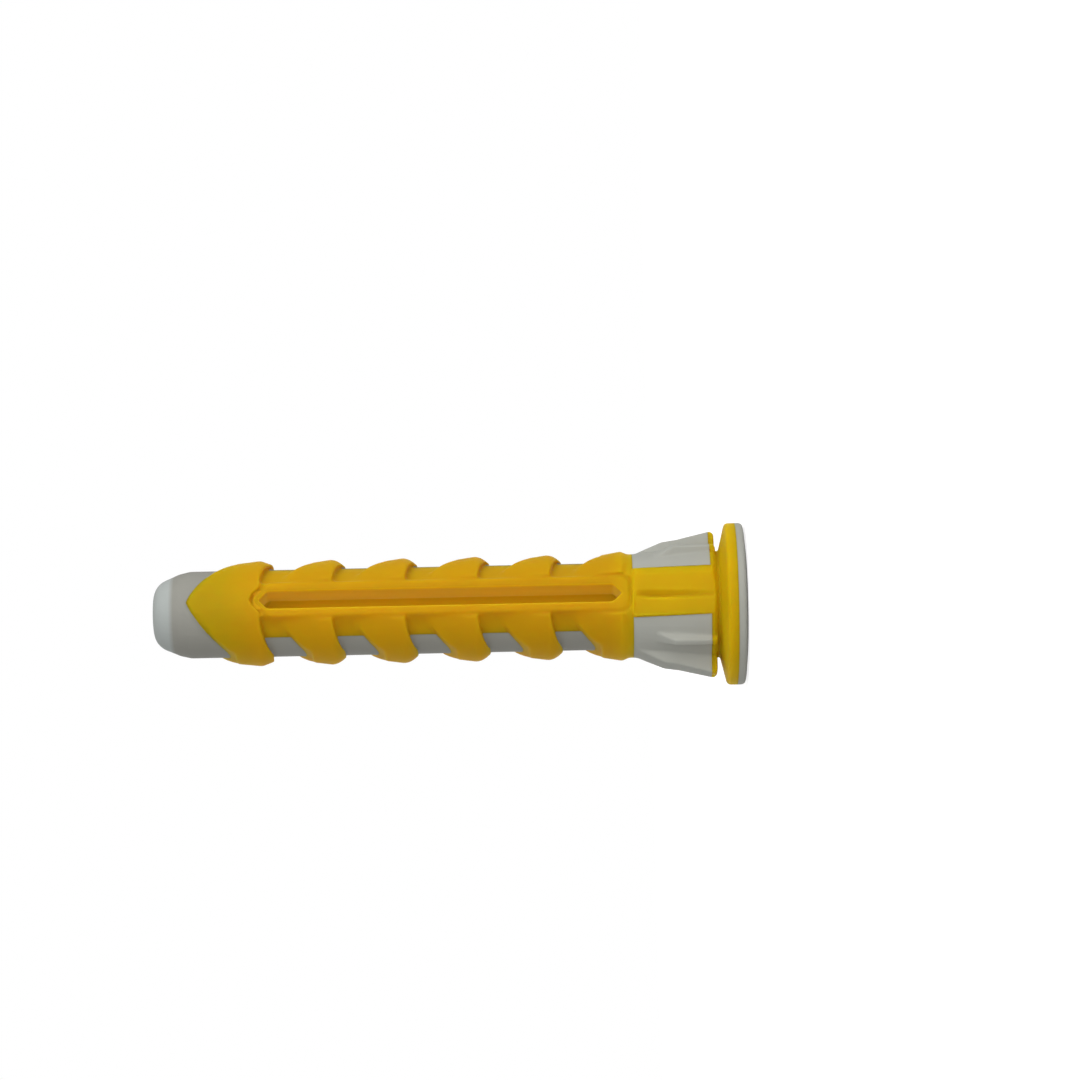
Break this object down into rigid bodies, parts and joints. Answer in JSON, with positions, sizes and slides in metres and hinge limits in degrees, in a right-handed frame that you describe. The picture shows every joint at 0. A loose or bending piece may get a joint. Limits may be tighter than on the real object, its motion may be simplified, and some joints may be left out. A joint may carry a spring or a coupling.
{
  "type": "universal wall plug",
  "caption": "Two-plastic universal wall plug: grey core with rounded nose, winged head and rim, in a yellow jacket with chevron barbs and two lengthwise spreading slots.",
  "frame": {"origin": "centre of the flat outer face of the rim, where the screw goes in", "axes": "+Z along the plug's axis from the rim up to the nose; the two slots face -Y and +Y, the two wings of the head point along -X and +X"},
  "size_m": [0.0164, 0.0164, 0.06],
  "materials": {
    "grey_plastic": "moulded satin",
    "yellow_plastic": "moulded satin"
  },
  "bodies": {
    "root": {"plug_core": "grey_plastic", "barbed_jacket": "yellow_plastic"}
  },
  "joints": []
}
